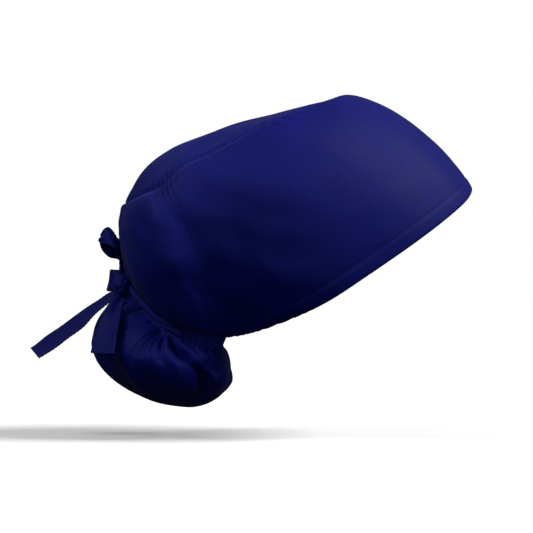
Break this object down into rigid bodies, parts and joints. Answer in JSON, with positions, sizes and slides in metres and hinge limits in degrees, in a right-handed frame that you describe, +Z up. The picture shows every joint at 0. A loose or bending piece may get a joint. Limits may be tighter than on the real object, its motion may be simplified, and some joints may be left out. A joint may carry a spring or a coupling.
{
  "type": "scrub cap",
  "caption": "Cloth scrub cap for long hair: wrap-round band, top panel, turned hem, elastic nape casing, gathered hair pouch and flat ties in a bow",
  "frame": {"origin": "the centre of the head opening, where a head holds the cap", "axes": "+Z up as worn, the brow faces -Y, the wearer's right side is -X"},
  "size_m": [0.1676, 0.3074, 0.2153],
  "materials": {
    "cap_cloth": "navy poplin, matt with a faint sheen",
    "tie_cloth": "the same navy poplin, folded and edge-stitched"
  },
  "bodies": {
    "root": {"wrap_band": "cap_cloth", "top_panel": "cap_cloth", "brim_hem": "cap_cloth", "nape_casing": "cap_cloth", "ponytail_pouch": "cap_cloth", "tie_left": "tie_cloth", "tie_right": "tie_cloth", "knot": "tie_cloth", "bow_loop_upper": "tie_cloth", "bow_loop_lower": "tie_cloth", "tail_long": "tie_cloth", "tail_short": "tie_cloth"}
  },
  "joints": []
}
